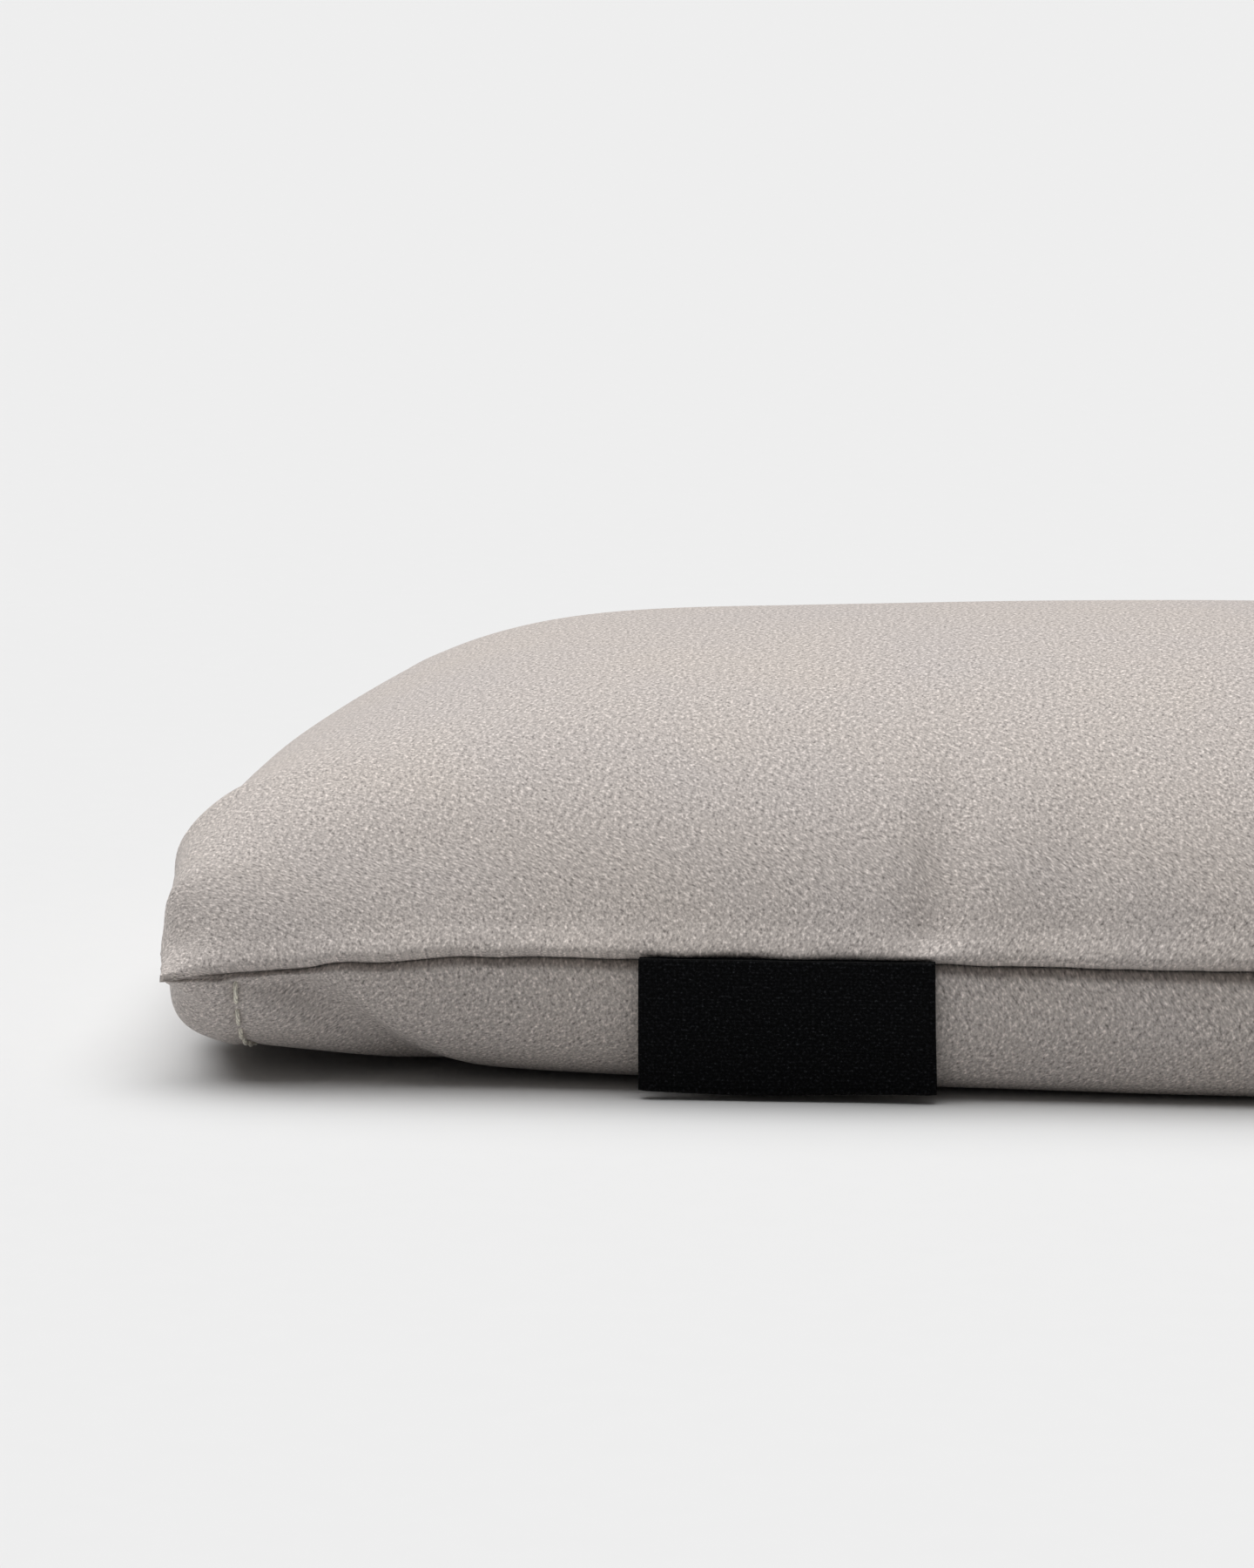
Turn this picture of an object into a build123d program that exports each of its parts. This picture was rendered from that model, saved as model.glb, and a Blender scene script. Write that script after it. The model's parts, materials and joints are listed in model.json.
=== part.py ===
"""Eye pillow: a seed-filled pouch in a removable cloth cover with a tuck-in flap at one end.

Units are millimetres. The origin is on the ground under the middle of the pillow.
X runs along the pillow, with the flap end at -X. The label hangs at the front, -Y. Z is up.
"""

import os

from build123d import *

os.makedirs("parts", exist_ok=True)

# ---------------------------------------------------------------- driving dimensions
LENGTH = 232.0
WIDTH = 98.0
HEIGHT = 32.0
SEAM_HEIGHT = 11.5
CORNER_RADIUS = 8.0

CLOTH = 0.8
OVERHANG = 1.6
CLEARANCE = 0.4

LABEL_WIDTH = 22.6
LABEL_DROP = 10.2
LABEL_THICKNESS = 0.9
LABEL_FROM_CORNER = 37.6

HEM_DEPTH = 5.8
STITCH_PITCH = 2.4
THREAD = 0.5
PROUD = 0.25
SUNK = 0.1

FLAP_HALF_WIDTH = 37.0
FLAP_REACH = 46.0

POUCH_CLOTH = 0.5
POUCH_MARGIN = 3.7

# Each level of the filled form: share of the half's height, end inset, side inset.
UPPER_LEVELS = [
    (0.00, 0.0, 0.0),
    (0.22, 4.0, 1.2),
    (0.46, 10.5, 4.0),
    (0.70, 20.5, 10.0),
    (0.88, 33.0, 18.5),
    (0.97, 47.0, 27.5),
    (1.00, 60.0, 35.0),
]
LOWER_LEVELS = [
    (0.00, 0.0, 0.0),
    (0.30, 3.0, 0.3),
    (0.60, 8.5, 1.0),
    (0.85, 16.5, 3.2),
    (1.00, 26.0, 7.0),
]

# ---------------------------------------------------------------- derived sizes
TOP_HALF_LENGTH = LENGTH / 2
TOP_HALF_WIDTH = WIDTH / 2
LOW_HALF_LENGTH = TOP_HALF_LENGTH - OVERHANG
LOW_HALF_WIDTH = TOP_HALF_WIDTH - OVERHANG

# the seam allowances hang inside the walls, as a band clear of the bottom panel,
# with rounder corners than the outline because the cloth bunches there
BAND_DEPTH = 2.8
BAND_CLOTH = 0.7
BAND_RADIUS = 11.0
BAND_HALF_LENGTH = LOW_HALF_LENGTH - 4.2
BAND_HALF_WIDTH = LOW_HALF_WIDTH - 2.2
RING_HOLE_HALF_LENGTH = BAND_HALF_LENGTH - BAND_CLOTH
RING_HOLE_HALF_WIDTH = BAND_HALF_WIDTH - BAND_CLOTH
BAND_START_X = -98.0

# the bottom panel stops a hair under the top one, and is double at its hem and allowance
PANEL_TOP = SEAM_HEIGHT - 0.05
DOUBLE_CLOTH = 1.5

# the pouch lies inside the band, with its flat sewn margin on the seam plane
MARGIN_HALF_LENGTH = RING_HOLE_HALF_LENGTH - CLEARANCE
MARGIN_HALF_WIDTH = RING_HOLE_HALF_WIDTH - CLEARANCE
POUCH_HALF_LENGTH = MARGIN_HALF_LENGTH - POUCH_MARGIN
POUCH_HALF_WIDTH = MARGIN_HALF_WIDTH - POUCH_MARGIN
MARGIN_LAP = 1.5
POUCH_TOP_DROP = 1.5
POUCH_BOTTOM_RISE = 3.6

# the flap lies inside the hemmed end of the bottom panel
FLAP_OUTSIDE = 2.2
FLAP_CLOTH = 0.7
FLAP_FREE_X = -LOW_HALF_LENGTH + FLAP_REACH
FLAP_TURN_X = -LOW_HALF_LENGTH + FLAP_REACH / 2
FLAP_BEND_RADIUS = 20.0
FLAP_LOW_Z = 2.4
FLAP_FOLD_X = -LOW_HALF_LENGTH + FLAP_OUTSIDE + FLAP_CLOTH / 2
FLAP_FOLD_Z = SEAM_HEIGHT - CLEARANCE - FLAP_CLOTH / 2

LABEL_CENTRE_X = -TOP_HALF_LENGTH + LABEL_FROM_CORNER + LABEL_WIDTH / 2
LABEL_Y = -TOP_HALF_WIDTH + 0.2 + LABEL_THICKNESS / 2
LABEL_AXIS_Z = SEAM_HEIGHT - 0.9


def filled_form(levels, half_length, half_width, base_z, end_z, radius):
    """A puffed half of a sewn bag, from the seam plane at base_z to its flat end at end_z."""
    with BuildPart() as form:
        for share, end_inset, side_inset in levels:
            level_z = base_z + share * (end_z - base_z)
            level_length = 2 * (half_length - end_inset)
            level_width = 2 * (half_width - side_inset)
            level_radius = min(radius + 0.6 * side_inset + 0.2 * end_inset, 0.45 * level_width)
            with BuildSketch(Plane.XY.offset(level_z)):
                RectangleRounded(level_length, level_width, level_radius)
        loft()
    return form.part


def upper_form(side, drop, base_z=SEAM_HEIGHT):
    """The top half of the cover, drawn in by side all round and lowered by drop."""
    return filled_form(
        UPPER_LEVELS,
        TOP_HALF_LENGTH - side,
        TOP_HALF_WIDTH - side,
        base_z,
        HEIGHT - drop,
        CORNER_RADIUS,
    )


def lower_form(side, rise, base_z=SEAM_HEIGHT):
    """The bottom half of the cover, drawn in by side all round and raised by rise."""
    return filled_form(
        LOWER_LEVELS,
        LOW_HALF_LENGTH - side,
        LOW_HALF_WIDTH - side,
        base_z,
        rise,
        CORNER_RADIUS,
    )


def block(x_low, x_high, y_low, y_high, z_low, z_high):
    """A plain block between the given limits, used to trim the soft forms."""
    size = (x_high - x_low, y_high - y_low, z_high - z_low)
    middle = ((x_low + x_high) / 2, (y_low + y_high) / 2, (z_low + z_high) / 2)
    with BuildPart() as cutter:
        with Locations(middle):
            Box(*size)
    return cutter.part


def rounded_ring(outer_length, outer_width, inner_length, inner_width, z_low, z_high):
    """A flat or upright band that follows the outline of the bag. Sizes are half sizes."""
    with BuildPart() as ring:
        with BuildSketch(Plane.XY.offset(z_low)):
            RectangleRounded(2 * outer_length, 2 * outer_width, BAND_RADIUS)
            RectangleRounded(
                2 * inner_length, 2 * inner_width, BAND_RADIUS - 1, mode=Mode.SUBTRACT
            )
        extrude(amount=z_high - z_low)
    return ring.part


def stitch_places(length):
    """Even stitch positions along a seam of the given length, centred on zero."""
    count = int(length / STITCH_PITCH)
    return [(index - (count - 1) / 2) * STITCH_PITCH for index in range(count)]


def straight_row(length, depth, centre):
    """A lockstitch row across the pillow: a thread on each face of level cloth, joined through it."""
    with BuildPart(Plane(origin=centre, x_dir=(0, 1, 0), z_dir=(0, 0, 1))) as row:
        for face in (-1, 1):
            with Locations((0, 0, face * (depth - THREAD) / 2)):
                Box(length, THREAD, THREAD)
        with Locations([(place, 0, 0) for place in stitch_places(length)]):
            Box(THREAD, THREAD, depth - THREAD)
    return row


# ---------------------------------------------------------------- cover, top panel
# A puffed cloth with its edge turned in over the seam, and an allowance hanging inside.
top_outside = upper_form(0.0, 0.0)
top_inside = upper_form(CLOTH, CLOTH, SEAM_HEIGHT + CLOTH)
top_allowance = rounded_ring(
    BAND_HALF_LENGTH,
    BAND_HALF_WIDTH,
    RING_HOLE_HALF_LENGTH,
    RING_HOLE_HALF_WIDTH,
    SEAM_HEIGHT - BAND_DEPTH,
    SEAM_HEIGHT + CLOTH / 2,
)
open_end = block(-LENGTH, BAND_START_X, -WIDTH, WIDTH, 0, HEIGHT)
top_allowance = top_allowance - open_end
with BuildPart() as cover_top_panel:
    add(top_outside)
    add(top_inside, mode=Mode.SUBTRACT)
    with BuildSketch(Plane.XY.offset(SEAM_HEIGHT - 1)):
        RectangleRounded(
            2 * RING_HOLE_HALF_LENGTH, 2 * RING_HOLE_HALF_WIDTH, BAND_RADIUS - 1
        )
    extrude(amount=2 + CLOTH, mode=Mode.SUBTRACT)
    add(top_allowance)
cover_top_panel.part.label = "cover_top_panel"
export_step(cover_top_panel.part, "parts/cover_top_panel.step")

# ---------------------------------------------------------------- cover, bottom panel
# Its own allowance doubles the wall under the seam, and its left end is turned up as a hem.
low_outside = lower_form(0.0, 0.0)
low_inside = lower_form(CLOTH, CLOTH)
double_layer = low_outside - lower_form(DOUBLE_CLOTH, DOUBLE_CLOTH)
under_seam = block(BAND_START_X, LENGTH, -WIDTH, WIDTH, SEAM_HEIGHT - BAND_DEPTH, HEIGHT)
hem_end_x = -TOP_HALF_LENGTH + HEM_DEPTH + 1
end_hem = block(-LENGTH, hem_end_x, -WIDTH, WIDTH, 0, HEIGHT)
low_allowance = double_layer & under_seam
turned_hem = double_layer & end_hem
above_panel = block(-LENGTH, LENGTH, -WIDTH, WIDTH, PANEL_TOP, HEIGHT)
with BuildPart() as cover_bottom_panel:
    add(low_outside)
    add(low_inside, mode=Mode.SUBTRACT)
    add(low_allowance)
    add(turned_hem)
    add(above_panel, mode=Mode.SUBTRACT)
cover_bottom_panel.part.label = "cover_bottom_panel"
export_step(cover_bottom_panel.part, "parts/cover_bottom_panel.step")

# ---------------------------------------------------------------- cover seam thread
# One run along the front, round the right end and back, through both allowances.
SEAM_ROW_Z = SEAM_HEIGHT - 1.6
SEAM_ROW_DEPTH = 2.0
ROW_HALF_LENGTH = BAND_HALF_LENGTH + 0.1
ROW_HALF_WIDTH = BAND_HALF_WIDTH + 0.1
seam_runs = [
    rounded_ring(
        ROW_HALF_LENGTH - inset,
        ROW_HALF_WIDTH - inset,
        ROW_HALF_LENGTH - inset - THREAD,
        ROW_HALF_WIDTH - inset - THREAD,
        SEAM_ROW_Z - THREAD / 2,
        SEAM_ROW_Z + THREAD / 2,
    )
    for inset in (-SEAM_ROW_DEPTH / 2, SEAM_ROW_DEPTH / 2 - THREAD)
]
side_places = stitch_places(2 * (ROW_HALF_LENGTH - BAND_RADIUS))
end_places = stitch_places(2 * (ROW_HALF_WIDTH - BAND_RADIUS))
unsewn_end = block(-LENGTH, BAND_START_X + THREAD, -WIDTH, WIDTH, 0, HEIGHT)
with BuildPart() as cover_seam_thread:
    for run in seam_runs:
        add(run)
    for side in (-1, 1):
        with Locations([(place, side * ROW_HALF_WIDTH, SEAM_ROW_Z) for place in side_places]):
            Box(THREAD, SEAM_ROW_DEPTH - THREAD / 2, THREAD)
    with Locations([(ROW_HALF_LENGTH, place, SEAM_ROW_Z) for place in end_places]):
        Box(SEAM_ROW_DEPTH - THREAD / 2, THREAD, THREAD)
    add(unsewn_end, mode=Mode.SUBTRACT)
cover_seam_thread.part.label = "cover_seam_thread"
export_step(cover_seam_thread.part, "parts/cover_seam_thread.step")

# ---------------------------------------------------------------- end hem thread
# A lockstitch row round the outside of the bottom panel, just in from its left end.
HEM_ROW_X = -LOW_HALF_LENGTH + HEM_DEPTH - OVERHANG / 2
HEM_ROW_LEG_HEIGHTS = (7.8, 9.8)
row_outside = lower_form(-PROUD, -PROUD)
row_inside = lower_form(DOUBLE_CLOTH + PROUD, DOUBLE_CLOTH + PROUD)
row_slab = block(
    HEM_ROW_X - THREAD / 2, HEM_ROW_X + THREAD / 2, -WIDTH, WIDTH, 0, SEAM_HEIGHT - 0.6
)
outer_run = (row_outside - lower_form(SUNK, SUNK)) & row_slab
inner_run = (lower_form(DOUBLE_CLOTH - SUNK, DOUBLE_CLOTH - SUNK) - row_inside) & row_slab
through_cloth = (row_outside - row_inside) & row_slab
hem_legs = []
for place in stitch_places(2 * LOW_HALF_WIDTH - 12):
    leg_band = block(-LENGTH, LENGTH, place - THREAD / 2, place + THREAD / 2, 0, HEIGHT)
    hem_legs.append(through_cloth & leg_band)
for leg_height in HEM_ROW_LEG_HEIGHTS:
    leg_band = block(-LENGTH, LENGTH, -WIDTH, WIDTH, leg_height, leg_height + THREAD)
    hem_legs.append(through_cloth & leg_band)
with BuildPart() as end_hem_thread:
    add(outer_run)
    add(inner_run)
    for leg in hem_legs:
        add(leg)
end_hem_thread.part.label = "end_hem_thread"
export_step(end_hem_thread.part, "parts/end_hem_thread.step")

# ---------------------------------------------------------------- tuck flap
# The end of the top cloth, folded over and tucked in under the pouch. Its fold is the hinge.
# It runs down from the fold in a straight slope, then lies level over the bottom panel.
with BuildPart() as tuck_flap:
    with BuildSketch(Plane.XZ):
        with BuildLine():
            FilletPolyline(
                (FLAP_FOLD_X, FLAP_FOLD_Z),
                (FLAP_TURN_X, FLAP_LOW_Z),
                (FLAP_FREE_X, FLAP_LOW_Z),
                radius=FLAP_BEND_RADIUS,
            )
            offset(amount=FLAP_CLOTH / 2)
        make_face()
    extrude(amount=FLAP_HALF_WIDTH, both=True)
tuck_flap.part.label = "tuck_flap"
export_step(tuck_flap.part, "parts/tuck_flap.step")

# ---------------------------------------------------------------- flap hem thread
FLAP_HEM_FROM_EDGE = 5.0
FLAP_HEM_END_GAP = 2.0
flap_hem_thread = straight_row(
    2 * (FLAP_HALF_WIDTH - FLAP_HEM_END_GAP),
    FLAP_CLOTH + 2 * PROUD,
    (FLAP_FREE_X - FLAP_HEM_FROM_EDGE, 0, FLAP_LOW_Z),
)
flap_hem_thread.part.label = "flap_hem_thread"
export_step(flap_hem_thread.part, "parts/flap_hem_thread.step")

# ---------------------------------------------------------------- woven label
# A strip folded double. The fold is at the bottom and the top edge is held by the front seam.
LABEL_STRAIGHT = LABEL_DROP - LABEL_THICKNESS
with BuildPart() as woven_label:
    with BuildSketch(Plane.YZ.offset(LABEL_CENTRE_X - LABEL_WIDTH / 2)):
        with Locations((LABEL_Y, LABEL_AXIS_Z - LABEL_STRAIGHT / 2)):
            SlotCenterToCenter(LABEL_STRAIGHT, LABEL_THICKNESS, rotation=90)
    extrude(amount=LABEL_WIDTH)
woven_label.part.label = "woven_label"
export_step(woven_label.part, "parts/woven_label.step")


def pouch_half(levels, shrink, end_z, plane_z):
    """A half of the inner pouch, drawn in by shrink, from plane_z to end_z."""
    return filled_form(
        levels,
        POUCH_HALF_LENGTH - shrink,
        POUCH_HALF_WIDTH - shrink,
        plane_z,
        end_z,
        CORNER_RADIUS,
    )


def pouch_margin(z_low, z_high):
    """The flat sewn margin of one pouch panel."""
    return rounded_ring(
        MARGIN_HALF_LENGTH,
        MARGIN_HALF_WIDTH,
        POUCH_HALF_LENGTH - MARGIN_LAP,
        POUCH_HALF_WIDTH - MARGIN_LAP,
        z_low,
        z_high,
    )


# ---------------------------------------------------------------- pouch panels
pouch_top_z = HEIGHT - POUCH_TOP_DROP
pouch_plane = SEAM_HEIGHT - 0.05
pouch_top_outside = pouch_half(UPPER_LEVELS, 0.0, pouch_top_z, SEAM_HEIGHT)
pouch_top_inside = pouch_half(
    UPPER_LEVELS, POUCH_CLOTH, pouch_top_z - POUCH_CLOTH, SEAM_HEIGHT
)
pouch_top_margin = pouch_margin(SEAM_HEIGHT, SEAM_HEIGHT + POUCH_CLOTH)
with BuildPart() as pouch_top_panel:
    add(pouch_top_outside)
    add(pouch_top_margin)
    add(pouch_top_inside, mode=Mode.SUBTRACT)
pouch_top_panel.part.label = "pouch_top_panel"
export_step(pouch_top_panel.part, "parts/pouch_top_panel.step")

pouch_low_outside = pouch_half(LOWER_LEVELS, 0.0, POUCH_BOTTOM_RISE, pouch_plane)
pouch_low_inside = pouch_half(
    LOWER_LEVELS, POUCH_CLOTH, POUCH_BOTTOM_RISE + POUCH_CLOTH, pouch_plane
)
pouch_low_margin = pouch_margin(pouch_plane - POUCH_CLOTH, pouch_plane)
with BuildPart() as pouch_bottom_panel:
    add(pouch_low_outside)
    add(pouch_low_margin)
    add(pouch_low_inside, mode=Mode.SUBTRACT)
pouch_bottom_panel.part.label = "pouch_bottom_panel"
export_step(pouch_bottom_panel.part, "parts/pouch_bottom_panel.step")

# ---------------------------------------------------------------- pouch threads
# One run along the front, round the left end and back. The right end is closed after filling.
POUCH_ROW_DEPTH = 2 * POUCH_CLOTH + 2 * PROUD
POUCH_ROW_HALF_LENGTH = MARGIN_HALF_LENGTH - POUCH_MARGIN / 2
POUCH_ROW_HALF_WIDTH = MARGIN_HALF_WIDTH - POUCH_MARGIN / 2
CLOSING_END_GAP = 5.0
pouch_runs = [
    rounded_ring(
        POUCH_ROW_HALF_LENGTH + THREAD / 2,
        POUCH_ROW_HALF_WIDTH + THREAD / 2,
        POUCH_ROW_HALF_LENGTH - THREAD / 2,
        POUCH_ROW_HALF_WIDTH - THREAD / 2,
        z_low,
        z_low + THREAD,
    )
    for z_low in (
        SEAM_HEIGHT - POUCH_ROW_DEPTH / 2,
        SEAM_HEIGHT + POUCH_ROW_DEPTH / 2 - THREAD,
    )
]
side_places = stitch_places(2 * (POUCH_ROW_HALF_LENGTH - BAND_RADIUS))
end_places = stitch_places(2 * (POUCH_ROW_HALF_WIDTH - BAND_RADIUS))
closed_later = block(POUCH_ROW_HALF_LENGTH - BAND_RADIUS, LENGTH, -WIDTH, WIDTH, 0, HEIGHT)
with BuildPart() as pouch_seam_thread:
    for run in pouch_runs:
        add(run)
    for side in (-1, 1):
        with Locations(
            [(place, side * POUCH_ROW_HALF_WIDTH, SEAM_HEIGHT) for place in side_places]
        ):
            Box(THREAD, THREAD, POUCH_ROW_DEPTH - THREAD)
    with Locations([(-POUCH_ROW_HALF_LENGTH, place, SEAM_HEIGHT) for place in end_places]):
        Box(THREAD, THREAD, POUCH_ROW_DEPTH - THREAD)
    add(closed_later, mode=Mode.SUBTRACT)
pouch_seam_thread.part.label = "pouch_seam_thread"
export_step(pouch_seam_thread.part, "parts/pouch_seam_thread.step")

pouch_closing_thread = straight_row(
    2 * (POUCH_ROW_HALF_WIDTH - CLOSING_END_GAP),
    POUCH_ROW_DEPTH,
    (POUCH_ROW_HALF_LENGTH, 0, SEAM_HEIGHT),
)
pouch_closing_thread.part.label = "pouch_closing_thread"
export_step(pouch_closing_thread.part, "parts/pouch_closing_thread.step")

# ---------------------------------------------------------------- flaxseed fill
# The settled seed fills the pouch, a hair clear of its cloth.
fill_gap = POUCH_CLOTH + 0.1
fill_upper = pouch_half(UPPER_LEVELS, fill_gap, pouch_top_z - fill_gap, pouch_plane)
fill_lower = pouch_half(LOWER_LEVELS, fill_gap, POUCH_BOTTOM_RISE + fill_gap, pouch_plane)
with BuildPart() as flaxseed_fill:
    add(fill_upper)
    add(fill_lower)
flaxseed_fill.part.label = "flaxseed_fill"
export_step(flaxseed_fill.part, "parts/flaxseed_fill.step")
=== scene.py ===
"""Looks of the eye pillow: a soft cloth cover with a blank woven label, a tuck flap and a seed pouch.

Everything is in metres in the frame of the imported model. X runs along the pillow with the flap
end at -X, the label hangs at the front, -Y, and Z is up.
"""

import json
import math

import bpy
import numpy as np
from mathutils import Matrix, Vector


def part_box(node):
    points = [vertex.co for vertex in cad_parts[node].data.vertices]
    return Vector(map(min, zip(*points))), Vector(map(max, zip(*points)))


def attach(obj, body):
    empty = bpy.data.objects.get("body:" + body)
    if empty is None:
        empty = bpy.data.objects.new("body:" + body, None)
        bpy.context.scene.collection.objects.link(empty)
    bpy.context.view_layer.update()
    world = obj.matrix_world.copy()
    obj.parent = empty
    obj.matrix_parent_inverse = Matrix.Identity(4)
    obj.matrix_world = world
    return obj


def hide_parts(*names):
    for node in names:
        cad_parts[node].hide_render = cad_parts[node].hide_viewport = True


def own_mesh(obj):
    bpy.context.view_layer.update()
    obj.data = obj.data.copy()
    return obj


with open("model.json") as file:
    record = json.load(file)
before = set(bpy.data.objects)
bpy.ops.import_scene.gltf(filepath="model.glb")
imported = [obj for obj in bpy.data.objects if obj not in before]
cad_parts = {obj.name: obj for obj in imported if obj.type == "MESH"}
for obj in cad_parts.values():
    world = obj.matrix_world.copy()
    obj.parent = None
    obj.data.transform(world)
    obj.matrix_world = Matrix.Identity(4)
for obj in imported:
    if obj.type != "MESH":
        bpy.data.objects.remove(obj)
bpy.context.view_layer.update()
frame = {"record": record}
MM = 0.001

# ------------------------------------------------------------------ camera
CAMERA_AZIMUTH = math.radians(5.06)
CAMERA_ELEVATION = math.radians(8.74)
CAMERA_DISTANCE = 0.500
CAMERA_TARGET = (-0.0835, 0.0, 0.0169)
CAMERA_LENS = 137.3

camera_data = bpy.data.cameras.new("camera")
camera_data.lens = CAMERA_LENS
camera_data.sensor_width = 36.0
camera_data.clip_start = 0.01
camera_data.clip_end = 50.0
camera = bpy.data.objects.new("camera", camera_data)
bpy.context.scene.collection.objects.link(camera)
bpy.context.scene.camera = camera
camera_back = np.array(
    [
        math.sin(CAMERA_AZIMUTH) * math.cos(CAMERA_ELEVATION),
        -math.cos(CAMERA_AZIMUTH) * math.cos(CAMERA_ELEVATION),
        math.sin(CAMERA_ELEVATION),
    ]
)
camera.location = np.array(CAMERA_TARGET) + camera_back * CAMERA_DISTANCE
camera.rotation_euler = (math.pi / 2 - CAMERA_ELEVATION, 0.0, CAMERA_AZIMUTH)

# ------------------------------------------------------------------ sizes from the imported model
top_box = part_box("cover_top_panel")
label_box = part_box("woven_label")
flap_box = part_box("tuck_flap")
hem_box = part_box("end_hem_thread")
pouch_top_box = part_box("pouch_top_panel")
pouch_low_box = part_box("pouch_bottom_panel")
fill_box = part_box("flaxseed_fill")

HALF_LENGTH = (top_box[1][0] - top_box[0][0]) / 2
HALF_WIDTH = (top_box[1][1] - top_box[0][1]) / 2
TOP_Z = top_box[1][2]
joints = {joint["name"]: joint for joint in frame["record"]["behaviour"]["joints"]}
LABEL_HINGE = joints["label_flip"]["pos_m"]
FLAP_HINGE = joints["flap_open"]["pos_m"]
SEAM_Z = LABEL_HINGE[2] + 0.9 * MM

# the cover's cut, its cloth and its sewing
FLAT_LENGTH = 0.236
FLAT_WIDTH = 0.1055
CLOTH = 0.5 * MM
HEM_X = (hem_box[0][0] + hem_box[1][0]) / 2
HEM_STEP = 0.34 * MM
HEM_DIP = 0.30 * MM
HEM_HOLLOW = 2.3 * MM
FLAP_HEM = 5.0 * MM
STITCH_PITCH = 2.4 * MM
STITCH_LENGTH = 2.0 * MM
THREAD_RADIUS = 0.18 * MM
SEAM_WANDER = 0.13 * MM
SEAM_INSIDE = 0.6 * MM
SEAM_STITCH_DEPTH = 3.5 * MM

# the seam's profile, in millimetres
SEAM_TUCK = 1.7
SEAM_LIP = 0.30
SEAM_RECESS = 0.60

# the label's ribbon, and how far it hangs in and leans
LABEL_LAYER = 0.34 * MM
LABEL_GAP = 0.08 * MM
LABEL_ROOT = 0.45 * MM
LABEL_LEAN = 0.9 * MM

# the pouch's sewn margin, cloth and stitches
POUCH_Z = SEAM_Z
POUCH_MARGIN = 3.7 * MM
POUCH_CLOTH = 0.35 * MM
POUCH_PITCH = 2.6 * MM
POUCH_STITCH = 2.1 * MM


# ------------------------------------------------------------------ cloth simulation of the cover
SIM_SCALE = 10.0
SIM_STEP = 2.5 * MM
SIM_FRAMES = 30
SIM_VOLUME = 0.00053
SIM_FLUID = 0.5
SIM_GROUND = 4.0
START_CORNER = 0.006
START_PUFF = 0.006

# how the open flap end differs from a sewn one: its reach, and the bumps that shape it
END_REACH = 0.0443
END_FULLNESS = 1.47
END_LIFT = 1.7 * MM
END_SINK = 1.5 * MM
END_CROWN = 0.5 * MM
END_BOW = 2.4 * MM
FRONT_CORNER_DROOP = 2.8 * MM
CORNER_CHEEK = 1.6 * MM
CORNER_CUT = 0.6 * MM
BACK_CORNER_DROOP = 4.2 * MM
FRONT_SQUARENESS = 0.29


def start_shape():
    """Two flat cloths joined all round, puffed a little: vertices, faces and the grid's index."""
    columns = int(round(FLAT_LENGTH / SIM_STEP))
    rows = int(round(FLAT_WIDTH / SIM_STEP))
    straight_x = FLAT_LENGTH / 2 - START_CORNER
    straight_y = FLAT_WIDTH / 2 - START_CORNER
    vertices, faces, index = [], [], {}
    for side in (1, -1):
        for j in range(rows + 1):
            for i in range(columns + 1):
                on_seam = i in (0, columns) or j in (0, rows)
                key = (i, j, 0 if on_seam else side)
                if key in index:
                    continue
                x = (i / columns - 0.5) * FLAT_LENGTH
                y = (j / rows - 0.5) * FLAT_WIDTH
                past_x = abs(x) - straight_x
                past_y = abs(y) - straight_y
                if past_x > 0 and past_y > 0:
                    pull = max(past_x, past_y) / math.hypot(past_x, past_y)
                    x = math.copysign(straight_x + past_x * pull, x)
                    y = math.copysign(straight_y + past_y * pull, y)
                puff = 0.0
                if not on_seam:
                    across = 1 - (2 * j / rows - 1) ** 4
                    along = 1 - (2 * i / columns - 1) ** 6
                    puff = side * START_PUFF * across * along
                index[key] = len(vertices)
                vertices.append((x, y, SEAM_Z + puff))
    for side in (1, -1):
        for j in range(rows):
            for i in range(columns):
                quad = []
                for a, b in ((i, j), (i + 1, j), (i + 1, j + 1), (i, j + 1)):
                    on_seam = a in (0, columns) or b in (0, rows)
                    quad.append(index[(a, b, 0 if on_seam else side)])
                faces.append(quad if side > 0 else quad[::-1])
    return np.array(vertices), faces, index, columns, rows


def square_object(name, reach):
    """A flat square on the ground that reaches so far each way."""
    mesh = bpy.data.meshes.new(name)
    corners = [(-reach, -reach, 0), (reach, -reach, 0), (reach, reach, 0), (-reach, reach, 0)]
    mesh.from_pydata(corners, [], [(0, 1, 2, 3)])
    square = bpy.data.objects.new(name, mesh)
    bpy.context.scene.collection.objects.link(square)
    return square


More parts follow.
